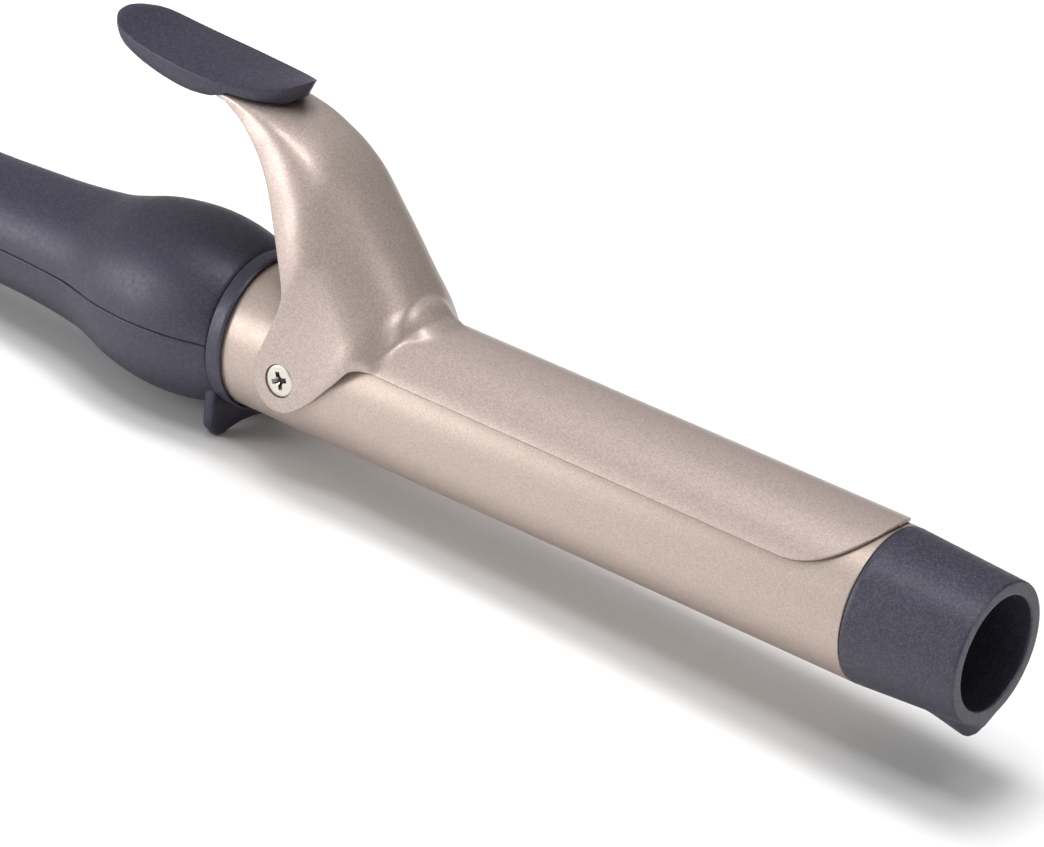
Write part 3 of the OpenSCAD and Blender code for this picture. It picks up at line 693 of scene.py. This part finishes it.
def build_pad():
    """The pad, hollowed below for the lever's plate."""
    half = np.array([pad_section(*s) for s in catmull(PAD, 6)])
    g = np.concatenate([half, half[:, -2:0:-1] * [1, -1, 1]], 1)
    n, m = g.shape[:2]
    caps = [tuple(range(m)), tuple(range((n - 1) * m, n * m))[::-1]]
    solid = make("pad", g.reshape(-1, 3), grid_faces(n, m, wrap_cols=True) + caps, in_barrel, CLAMP,
                 ("thumb_pad",), "handle_soft_touch", sharp=60)
    pocket = [[-38.6, 7.1], [-24, 8], [-14, 9], [-8, 9.5], [8, 9.8]]
    rear = [[-38.6, 7.1], [-24, 8], [-20, 8.3]]
    tools = [prism("t_pocket", [[x, -y] for x, y in side] + side[::-1], 40, top)
             for side, top in ((pocket, 51.3), (rear, 51.95))]
    cut(solid, tools, sharp=42)


build_pad()


# ---------- screws ----------

def screw_head(name, centre, axis, r, height, place, replaces, shank, spin, slot="bright_screw", taper=0.45):
    """A domed head with a cross recess on a shank of [radius, length]. axis points out of the head, height is
    the head's thickness at its rim, and the taper below it is given as a share of r."""
    axis = np.asarray(axis, float) / np.linalg.norm(axis)
    side = np.cross(axis, [0.0, 0.0, 1.0] if abs(axis[2]) < 0.9 else [1.0, 0.0, 0.0])
    side /= np.linalg.norm(side)
    up = np.cross(axis, side)
    deep = taper * r
    prof = [[0.001, -height - deep], [0.5 * r, -height - deep], [r - 0.1, -height], [r, -height + 0.1],
            [r, -0.42 * height], [r - 0.06, -0.25 * height], [r - 0.2, -0.12 * height],
            [r - 0.45, -0.05 * height], [r - 0.9, -0.012 * height], [0.001, 0.0]]
    a = np.linspace(0, 2 * math.pi, SCREW_SIDES, endpoint=False)
    ring = np.outer(np.cos(a), side) + np.outer(np.sin(a), up)
    verts = np.concatenate([centre + axis * h + rr * ring for rr, h in prof])
    obj = make(name, verts, closed_stack(len(prof), SCREW_SIDES), place, None)
    tools = []
    ends = (-0.88 * height - 0.7 * deep, 0.3 * r, 0.1 * r), (0.2, 0.62 * r, 0.165 * r)
    for t in (math.radians(spin), math.radians(spin + 90)):
        u = math.cos(t) * side + math.sin(t) * up
        w = math.cos(t) * up - math.sin(t) * side
        arm = [centre + axis * h + u * su * reach + w * sw * wide
               for h, reach, wide in ends
               for su, sw in ((1, 1), (-1, 1), (-1, -1), (1, -1))]
        arm_faces = grid_faces(2, 4, wrap_cols=True) + [(0, 1, 2, 3), (4, 5, 6, 7)]
        tools.append(make("t_cross", np.array(arm), arm_faces, place, None))
    tools.append(cylinder_tool("t_mid", centre - axis * (0.38 * height + 0.3 * deep), axis, 0.12 * r,
                               height + 0.7 * deep, place, n=24, r2=0.34 * r))
    cut(obj, tools, sharp=30)
    middle = Vector(place(centre)[0])
    turn = (Vector(place(centre + axis)[0]) - middle).normalized()
    # Faces deep in the cross recess take the second material, a near-black that paints shade into the recess.
    for face in obj.data.polygons:
        off = face.center - middle
        below = off.dot(turn)
        aside = (off - turn * below).length
        face.material_index = int(aside < 0.72 * r * 0.001 and below < -0.00022)
    rod_r, rod_l = shank
    rod_centre = centre - axis * (height + deep + rod_l / 2 - 0.05)
    join(obj, [cylinder_tool("shank", rod_centre, axis, rod_r, rod_l, place, n=40)])
    finish_piece(obj, ROOT, replaces, slot, 30)
    RECESSED.append(obj)


for name, side, spin, nodes in (("pivot_near", -1, 22, ("pivot_screws",)), ("pivot_far", 1, 31, ())):
    screw_head(name, np.array([PIVOT_X, 17.12 * side, 0.0]), (0, side, 0), 3.45, 1.0, in_barrel, nodes,
               (1.45, 8.0), spin, taper=0.0)
screw_head("tip_screw_head", np.array([BARREL_L + 8.9, 0, 0]), (1, 0, 0), 2.95, 1.6, in_barrel,
           ("tip_screw",), (1.2, 11.0), 20, "steel")
for i, (x, y) in enumerate(SCREWS):
    screw_head(f"handle_screw{i}", np.array([x, y, -6.2]), (0, 0, -1), 2.28, 2.1, in_handle,
               ("handle_screws",) if i == 0 else (), (1.2, 9.4), 17 + 31 * i, "steel")


# ---------- controls ----------

KEY_SIDES = 72
MARK_BARS = {"minus": [(1.33, 0.21)], "plus": [(1.33, 0.21), (0.21, 1.33)]}     # half sizes along x and y
POWER_GAP = 0.6             # half the opening of the power sign's ring, in radians


def key_marks(x, mark, low, high):
    """The raised strokes of a key's sign."""
    if mark != "power":
        return [bevel(prism("bar", rectangle(x, 0, *half), low, high, place=in_handle), 0.05, 2)
                for half in MARK_BARS[mark]]
    turns = np.linspace(POWER_GAP, 6.28 - POWER_GAP, 40)
    arcs = (1.65, turns), (1.3, turns[::-1])
    ring = [[x + q * math.sin(t), q * math.cos(t)] for q, ts in arcs for t in ts]
    return [prism("ring", ring, low, high, place=in_handle),
            prism("tick", rectangle(x, 1.25, 0.17, 0.75), low, high, place=in_handle)]


def key(name, x, r, body, slot, mark):
    """A key with a dished top, its flange and its stem, and the sign raised on it."""
    top = handle_r(x) + 0.55
    flange = handle_r(x) - 4.0
    prof = [[0.001, 4.6], [1.5, 4.6], [1.5, flange - 0.7], [r + 0.85, flange - 0.7],
            [r + 0.85, flange + 0.18], [r, flange + 0.2], [r, top - 0.5], [r - 0.07, top - 0.28],
            [r - 0.24, top - 0.1], [r - 0.5, top - 0.02], [r - 0.75, top - 0.06], [r * 0.5, top - 0.2],
            [0.001, top - 0.26]]
    a = np.linspace(0, 2 * math.pi, KEY_SIDES, endpoint=False)
    verts = np.concatenate([np.stack([x + rr * np.cos(a), rr * np.sin(a), np.full(KEY_SIDES, z)], 1)
                            for rr, z in prof])
    obj = make(name, verts, closed_stack(len(prof), KEY_SIDES), in_handle, body, (body,), slot, 32)
    marks = key_marks(x, mark, top - 0.35, top - 0.08)
    for m in marks:
        smooth(m, 30)
    sign = join(marks[0], marks[1:])
    sign.name = obj.name + "_mark"
    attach(sign, body)
    return sign


KEY_SIGNS = [key("power_key", POWER_X, POWER_R, "power_button", "power_key", "power"),
             key("plus_key", PLUS_X, SIGN_R, "plus_button", "handle_soft_touch", "plus"),
             key("minus_key", MINUS_X, SIGN_R, "minus_button", "handle_soft_touch", "minus")]


def build_lens():
    """The display's window, its top curved like the handle and its edges bevelled."""
    lens = prism("lens", rounded_box_outline(DISPLAY_X, 0, 19.9, 11.9, 1.95, 8), 4, 20, place=in_handle)
    bevel(lens, 0.25, 3)
    xs = np.linspace(DISPLAY_X - 12, DISPLAY_X + 12, 25)
    band = [[x, handle_r(x) - 0.15] for x in xs] + [[x, handle_r(x) - 2.4] for x in xs[::-1]]
    cut(lens, [lathe("t_band", band, n=160, place=in_handle, body=None, a0=20, a1=160)], "INTERSECT")
    finish_piece(lens, ROOT, ("display_lens",), "display_window", 30)


build_lens()


# ---------- cord inlet ----------

SOCKET_LINE = [[-164, 6.6], [-170, 6.6], [-170, 10.6], [-169.4, 11.6], [-168, 12.0], [-168.02, 10],
               [-154, 10], [-154, 8.4], [-158, 8.4], [-158, 6.6]]
lathe("socket", rounded(SOCKET_LINE, [0, 0.25, 0.4, 0.3, 0.12, 0, 0, 0, 0, 0], 4), n=144, place=in_handle,
      replaces=("swivel_socket",), slot="mount_resin")
gland_line = [[-182, 3.2], [-149, 3.2], [-149, 4.6], [-154.6, 4.6], [-154.6, 8], [-157.8, 8], [-157.8, 6.55],
              [-170.3, 6.55], [-170.3, 8.3], [-170.6, 8.6], [-172.7, 8.6], [-173.2, 8.35], [-174, 7.6]]
for k in range(6):          # the gland's ribs, on a cone
    x0 = -174.6 - 1.12 * k
    r0 = 7.6 - 0.297 * (-174 - x0)
    gland_line += [[x0, r0], [x0 - 0.1, r0 - 0.42], [x0 - 0.42, r0 - 0.5], [x0 - 0.52, r0 - 0.12]]
gland_line += [[-181.5, 5.35], [-181.85, 5.1], [-182, 4.7], [-182, 3.5]]
lathe("gland", gland_line, n=120, place=in_handle, body="cord_swivel", replaces=("swivel_gland",),
      slot="mount_resin", sharp=28)


# ---------- materials ----------

class Nodes:
    """A material with a Principled shader, and short ways to add and link its nodes."""

    def __init__(self, name):
        self.mat = bpy.data.materials.new(name)
        self.mat.use_nodes = True
        self.tree = self.mat.node_tree
        self.tree.nodes.clear()
        self.out = self.tree.nodes.new("ShaderNodeOutputMaterial")
        self.bsdf = self.tree.nodes.new("ShaderNodeBsdfPrincipled")
        self.tree.links.new(self.bsdf.outputs[0], self.out.inputs[0])
        self.coord = self.tree.nodes.new("ShaderNodeTexCoord")

    def link(self, a, b):
        self.tree.links.new(a, b)

    def set(self, **values):
        for k, v in values.items():
            self.bsdf.inputs[k.replace("_", " ")].default_value = v

    def noise(self, scale, detail, stretch=None):
        n = self.tree.nodes.new("ShaderNodeTexNoise")
        n.inputs["Scale"].default_value = scale
        n.inputs["Detail"].default_value = detail
        source = self.coord.outputs["Object"]
        if stretch:
            m = self.tree.nodes.new("ShaderNodeMapping")
            m.inputs["Scale"].default_value = stretch
            self.link(source, m.inputs["Vector"])
            source = m.outputs["Vector"]
        self.link(source, n.inputs["Vector"])
        return n.outputs["Fac"]

    def flecks(self, scale, stops):
        """Small cells, each one's own grey sent through the stops."""
        cells = self.tree.nodes.new("ShaderNodeTexVoronoi")
        cells.inputs["Scale"].default_value = scale
        self.link(self.coord.outputs["Object"], cells.inputs["Vector"])
        grey = self.tree.nodes.new("ShaderNodeRGBToBW")
        self.link(cells.outputs["Color"], grey.inputs[0])
        return self.ramp(grey.outputs[0], stops)

    def ramp(self, source, stops):
        r = self.tree.nodes.new("ShaderNodeValToRGB")
        e = r.color_ramp.elements
        while len(e) < len(stops):
            e.new(0.5)
        for k, (pos, value) in enumerate(stops):
            e[k].position = pos
            v = value if hasattr(value, "__len__") else (value,) * 3
            e[k].color = (*v[:3], 1)
        self.link(source, r.inputs["Fac"])
        return r.outputs["Color"]

    def mix(self, fac, a, b):
        m = self.tree.nodes.new("ShaderNodeMix")
        m.data_type = "RGBA"
        for socket, value in ((m.inputs[0], fac), (m.inputs[6], a), (m.inputs[7], b)):
            if hasattr(value, "is_output"):
                self.link(value, socket)
            elif hasattr(value, "__len__"):
                socket.default_value = (*value[:3], 1)
            else:
                socket.default_value = value
        return m.outputs[2]

    def bump(self, height, strength, distance):
        b = self.tree.nodes.new("ShaderNodeBump")
        b.inputs["Strength"].default_value = strength
        b.inputs["Distance"].default_value = distance
        self.link(height, b.inputs["Height"])
        self.link(b.outputs["Normal"], self.bsdf.inputs["Normal"])

    def roughness(self, source, low, high):
        self.link(self.ramp(source, [(0.3, low), (0.7, high)]), self.bsdf.inputs["Roughness"])

    def colour(self, source):
        self.link(source, self.bsdf.inputs["Base Color"])


def soft_touch(name, dark, light, fleck):
    """Matte coating with a fine mineral fleck and slow handling marks."""
    n = Nodes(name)
    slow = n.ramp(n.noise(38.0, 3.0), [(0.3, dark), (0.72, light)])
    share = n.mix(0.65, (0, 0, 0), n.flecks(3600.0, [(0.4, 0.0), (0.95, 1.0)]))
    n.colour(n.mix(share, slow, fleck))
    n.roughness(n.noise(900.0, 2.0), 0.40, 0.52)
    n.bump(n.noise(3600.0, 2.0), 0.22, 0.00003)
    n.set(Specular_IOR_Level=0.72, Specular_Tint=(0.90, 0.87, 1.0, 1))
    return n.mat


def pearl(name, base, fleck, rough, metal_share, coat=0.0):
    """Pearl paint: fine flakes under a satin surface."""
    n = Nodes(name)
    share = n.mix(0.55, (0, 0, 0), n.flecks(4200.0, [(0.25, 0.0), (0.9, 1.0)]))
    slow = n.ramp(n.noise(22.0, 2.0), [(0.3, tuple(c * 0.975 for c in base)), (0.7, base)])
    n.colour(n.mix(share, slow, fleck))
    n.roughness(n.noise(1500.0, 2.0), rough - 0.03, rough + 0.04)
    n.bump(n.noise(5200.0, 1.0), 0.12, 0.00002)
    n.set(Metallic=metal_share, Specular_Tint=(0.42, 0.40, 0.38, 1), Coat_Weight=coat, Coat_Roughness=0.2)
    return n.mat


def metal(name, base, rough, brushed=None):
    """Bare metal with fine marks, drawn out along one axis where it's brushed."""
    n = Nodes(name)
    lines = n.noise(420.0 if brushed else 900.0, 3.0, brushed)
    n.colour(n.ramp(lines, [(0.3, tuple(c * 0.88 for c in base)), (0.7, base)]))
    n.roughness(lines, rough - 0.04, rough + 0.07)
    n.bump(lines, 0.15, 0.00002)
    n.set(Metallic=1.0)
    return n.mat


def plastic(name, dark, light, rough, scale=600.0, bump_size=0.00003, coat=0.0):
    """Moulded or cast material with slow colour changes and a fine texture."""
    n = Nodes(name)
    n.colour(n.ramp(n.noise(scale * 0.12, 3.0), [(0.3, dark), (0.7, light)]))
    n.roughness(n.noise(scale, 2.0), rough - 0.04, rough + 0.06)
    n.bump(n.noise(scale * 3.0, 2.0), 0.2, bump_size)
    n.set(Coat_Weight=coat)
    return n.mat


def woven(name, dark, light):
    """Braided glass sleeve."""
    n = Nodes(name)
    w = n.tree.nodes.new("ShaderNodeTexWave")
    w.inputs["Scale"].default_value = 420.0
    w.inputs["Distortion"].default_value = 1.5
    n.link(n.coord.outputs["Object"], w.inputs["Vector"])
    n.colour(n.ramp(w.outputs["Color"], [(0.2, dark), (0.8, light)]))
    n.bump(w.outputs["Fac"], 0.5, 0.0001)
    n.set(Roughness=0.8)
    return n.mat


MATERIALS = {
    "handle_soft_touch": soft_touch("soft_touch", (0.0124, 0.0112, 0.0225), (0.0162, 0.0148, 0.0280),
                                    (0.050, 0.046, 0.074)),
    "tip_plastic": soft_touch("tip_matte", (0.0155, 0.015, 0.0255), (0.020, 0.0195, 0.0325),
                              (0.078, 0.076, 0.108)),
    "barrel_coating": pearl("barrel_satin", (0.455, 0.368, 0.322), (0.62, 0.53, 0.48), 0.40, 0.55),
    "clamp_coating": pearl("clamp_pearl", (0.43, 0.345, 0.308), (0.64, 0.55, 0.51), 0.40, 0.55, 0.35),
    "bright_screw": metal("nickel", (0.66, 0.63, 0.56), 0.30),
    "steel": metal("plain_steel", (0.52, 0.52, 0.53), 0.34),
    "mount_resin": plastic("resin", (0.022, 0.021, 0.027), (0.034, 0.032, 0.041), 0.55),
    "cast_aluminium": metal("extruded", (0.66, 0.66, 0.67), 0.38, (0.03, 1, 1)),
    "ceramic": plastic("alumina", (0.74, 0.70, 0.62), (0.84, 0.81, 0.74), 0.6),
    "mica": plastic("mica_sheet", (0.42, 0.31, 0.15), (0.58, 0.45, 0.24), 0.35, 260.0),
    "lead_sleeve": woven("sleeve", (0.55, 0.52, 0.46), (0.82, 0.79, 0.72)),
    "board_green": plastic("solder_mask", (0.02, 0.11, 0.05), (0.035, 0.17, 0.08), 0.3, 500.0),
    "component_black": plastic("component", (0.018, 0.018, 0.021), (0.03, 0.03, 0.034), 0.45),
    "component_yellow": plastic("film_case", (0.62, 0.33, 0.01), (0.74, 0.43, 0.03), 0.3, 400.0, coat=0.3),
    "display_window": plastic("smoked_window", (0.008, 0.008, 0.011), (0.012, 0.012, 0.016), 0.08, 300.0,
                              0.000004, 0.6),
    "power_key": pearl("key_champagne", (0.46, 0.36, 0.30), (0.62, 0.52, 0.46), 0.28, 0.8, 0.4),
    "contact_brass": metal("brass_contact", (0.72, 0.50, 0.22), 0.3),
}
ink = plastic("key_mark", (0.55, 0.53, 0.56), (0.66, 0.64, 0.67), 0.45)
# Near-black painted shade for the screws' cross recesses.
painted_recess_shade = plastic("recess_painted_shade", (0.012, 0.010, 0.008), (0.03, 0.026, 0.02), 0.6, 900.0)


def paint(obj, *materials):
    """Gives obj these materials. Faces keep their material number."""
    numbers = [face.material_index for face in obj.data.polygons]
    obj.data.materials.clear()
    for material in materials:
        obj.data.materials.append(material)
    obj.data.polygons.foreach_set("material_index", [min(k, len(materials) - 1) for k in numbers])


SLOTS = {s["node"]: s["material_slot"] for s in frame["record"]["subparts"]}
for node, obj in NODES.items():
    paint(obj, MATERIALS[SLOTS[node]])
    smooth(obj, 30)
for obj, slot in PIECES:
    # Screws take the painted recess shade as their second material.
    paint(obj, MATERIALS[slot], *([painted_recess_shade] if obj in RECESSED else []))
for sign in KEY_SIGNS:
    paint(sign, ink)


# ---------- floor, light and camera ----------

FLOOR_TILT = math.radians(3.05)      # the iron lies on its two feet and the handle's rear end, its tip raised
FOOT_X = -0.0042
FLOOR_HALF = 3.0
FLOOR_GAP = 0.0001


def build_floor():
    """Pale paper under the feet and the handle's rear end."""
    corners = [(x, y, -math.tan(FLOOR_TILT) * (x - FOOT_X) - FLOOR_GAP)
               for x, y in rectangle(0, 0, FLOOR_HALF, FLOOR_HALF)]
    mesh = bpy.data.meshes.new("floor")
    mesh.from_pydata(corners, [], [(0, 1, 2, 3)])
    floor = bpy.data.objects.new("floor", mesh)
    bpy.context.scene.collection.objects.link(floor)
    n = Nodes("floor_paper")
    n.colour(n.ramp(n.noise(14.0, 3.0), [(0.3, 0.86), (0.7, 0.88)]))
    n.set(Roughness=0.85, Specular_IOR_Level=0.2)
    mesh.materials.append(n.mat)


build_floor()


def area(name, place, target, size, power, glossy=True, diffuse=True):
    """A soft rectangular light. Without glossy no surface mirrors it, without diffuse it's only mirrored."""
    data = bpy.data.lights.new(name, "AREA")
    data.shape = "RECTANGLE"
    data.size, data.size_y = size
    data.energy = power
    obj = bpy.data.objects.new(name, data)
    obj.location = place
    direction = Vector(target) - Vector(place)
    obj.rotation_euler = direction.to_track_quat("-Z", "Y").to_euler()
    obj.visible_glossy = glossy
    obj.visible_diffuse = diffuse
    obj.visible_camera = False
    bpy.context.scene.collection.objects.link(obj)


TARGET = (0.03, 0.0, 0.03)
area("key", (-0.01, 0.07, 0.78), TARGET, (0.36, 0.30), 4.8, glossy=False)
area("top", (0.05, -0.25, 0.78), TARGET, (0.28, 0.20), 1.6)
area("top_right", (0.46, 0.10, 0.78), TARGET, (0.34, 0.30), 0.5, glossy=False)
area("near_left", (-0.78, -0.70, 0.24), TARGET, (0.6, 0.3), 0.8)
area("near_fill", (-0.70, -0.76, 0.24), TARGET, (0.6, 0.3), 0.7, glossy=False)
area("behind", (-0.25, 0.40, 0.76), TARGET, (0.6, 0.4), 0.9, glossy=False)
area("tip_side", (0.62, 0.0, 0.30), (0.04, 0, 0.035), (0.14, 0.10), 1.4, diffuse=False)
area("handle_strip", (-0.54, -0.64, 0.24), (-0.10, 0, 0.02), (0.34, 0.40), 2.2)


def build_world():
    """Soft white surroundings, brighter from the left, the near side and above."""
    world = bpy.data.worlds.new("studio")
    bpy.context.scene.world = world
    world.use_nodes = True
    tree = world.node_tree
    coord = tree.nodes.new("ShaderNodeTexCoord")
    facing = tree.nodes.new("ShaderNodeVectorMath")
    facing.operation = "DOT_PRODUCT"
    facing.inputs[1].default_value = (-0.88, -0.44, 0.10)
    level = tree.nodes.new("ShaderNodeMapRange")
    for name, value in (("From Min", -0.5), ("From Max", 0.95), ("To Min", 0.11), ("To Max", 0.72)):
        level.inputs[name].default_value = value
    back = tree.nodes["Background"]
    back.inputs["Color"].default_value = (1, 1, 1, 1)
    tree.links.new(coord.outputs["Generated"], facing.inputs[0])
    tree.links.new(facing.outputs["Value"], level.inputs["Value"])
    tree.links.new(level.outputs["Result"], back.inputs["Strength"])


build_world()


# The camera was fitted to the object's outlines. It looks at AIM, in the barrel's frame, from REACH away.
CAMERA_AIM = (64.262, 0.0, 3.997)
CAMERA_REACH = 1012.227
CAMERA_AZIMUTH = math.radians(-55.1235)
CAMERA_HEIGHT = math.radians(25.0127)
CAMERA_ROLL = math.radians(7.4195)
CAMERA_LENS = 176.4


def camera():
    """The photograph's point of view."""
    data = bpy.data.cameras.new("camera")
    data.lens = CAMERA_LENS
    data.sensor_width = 36.0
    data.clip_end = 20
    obj = bpy.data.objects.new("camera", data)
    bpy.context.scene.collection.objects.link(obj)
    yaw = Matrix.Rotation(CAMERA_AZIMUTH + math.pi / 2, 4, "Z")
    level = yaw @ Matrix.Rotation(math.pi / 2 - CAMERA_HEIGHT, 4, "X")
    place = Vector(CAMERA_AIM) + level.to_3x3() @ Vector((0, 0, CAMERA_REACH))
    turn = Matrix.Rotation(DIP, 4, "Y") @ level @ Matrix.Rotation(CAMERA_ROLL, 4, "Z")
    obj.matrix_world = Matrix.Translation(in_barrel(place)[0]) @ turn
    bpy.context.scene.camera = obj


camera()
view = bpy.context.scene.view_settings
view.view_transform = "Standard"
view.look = "None"
view.exposure = 0.0
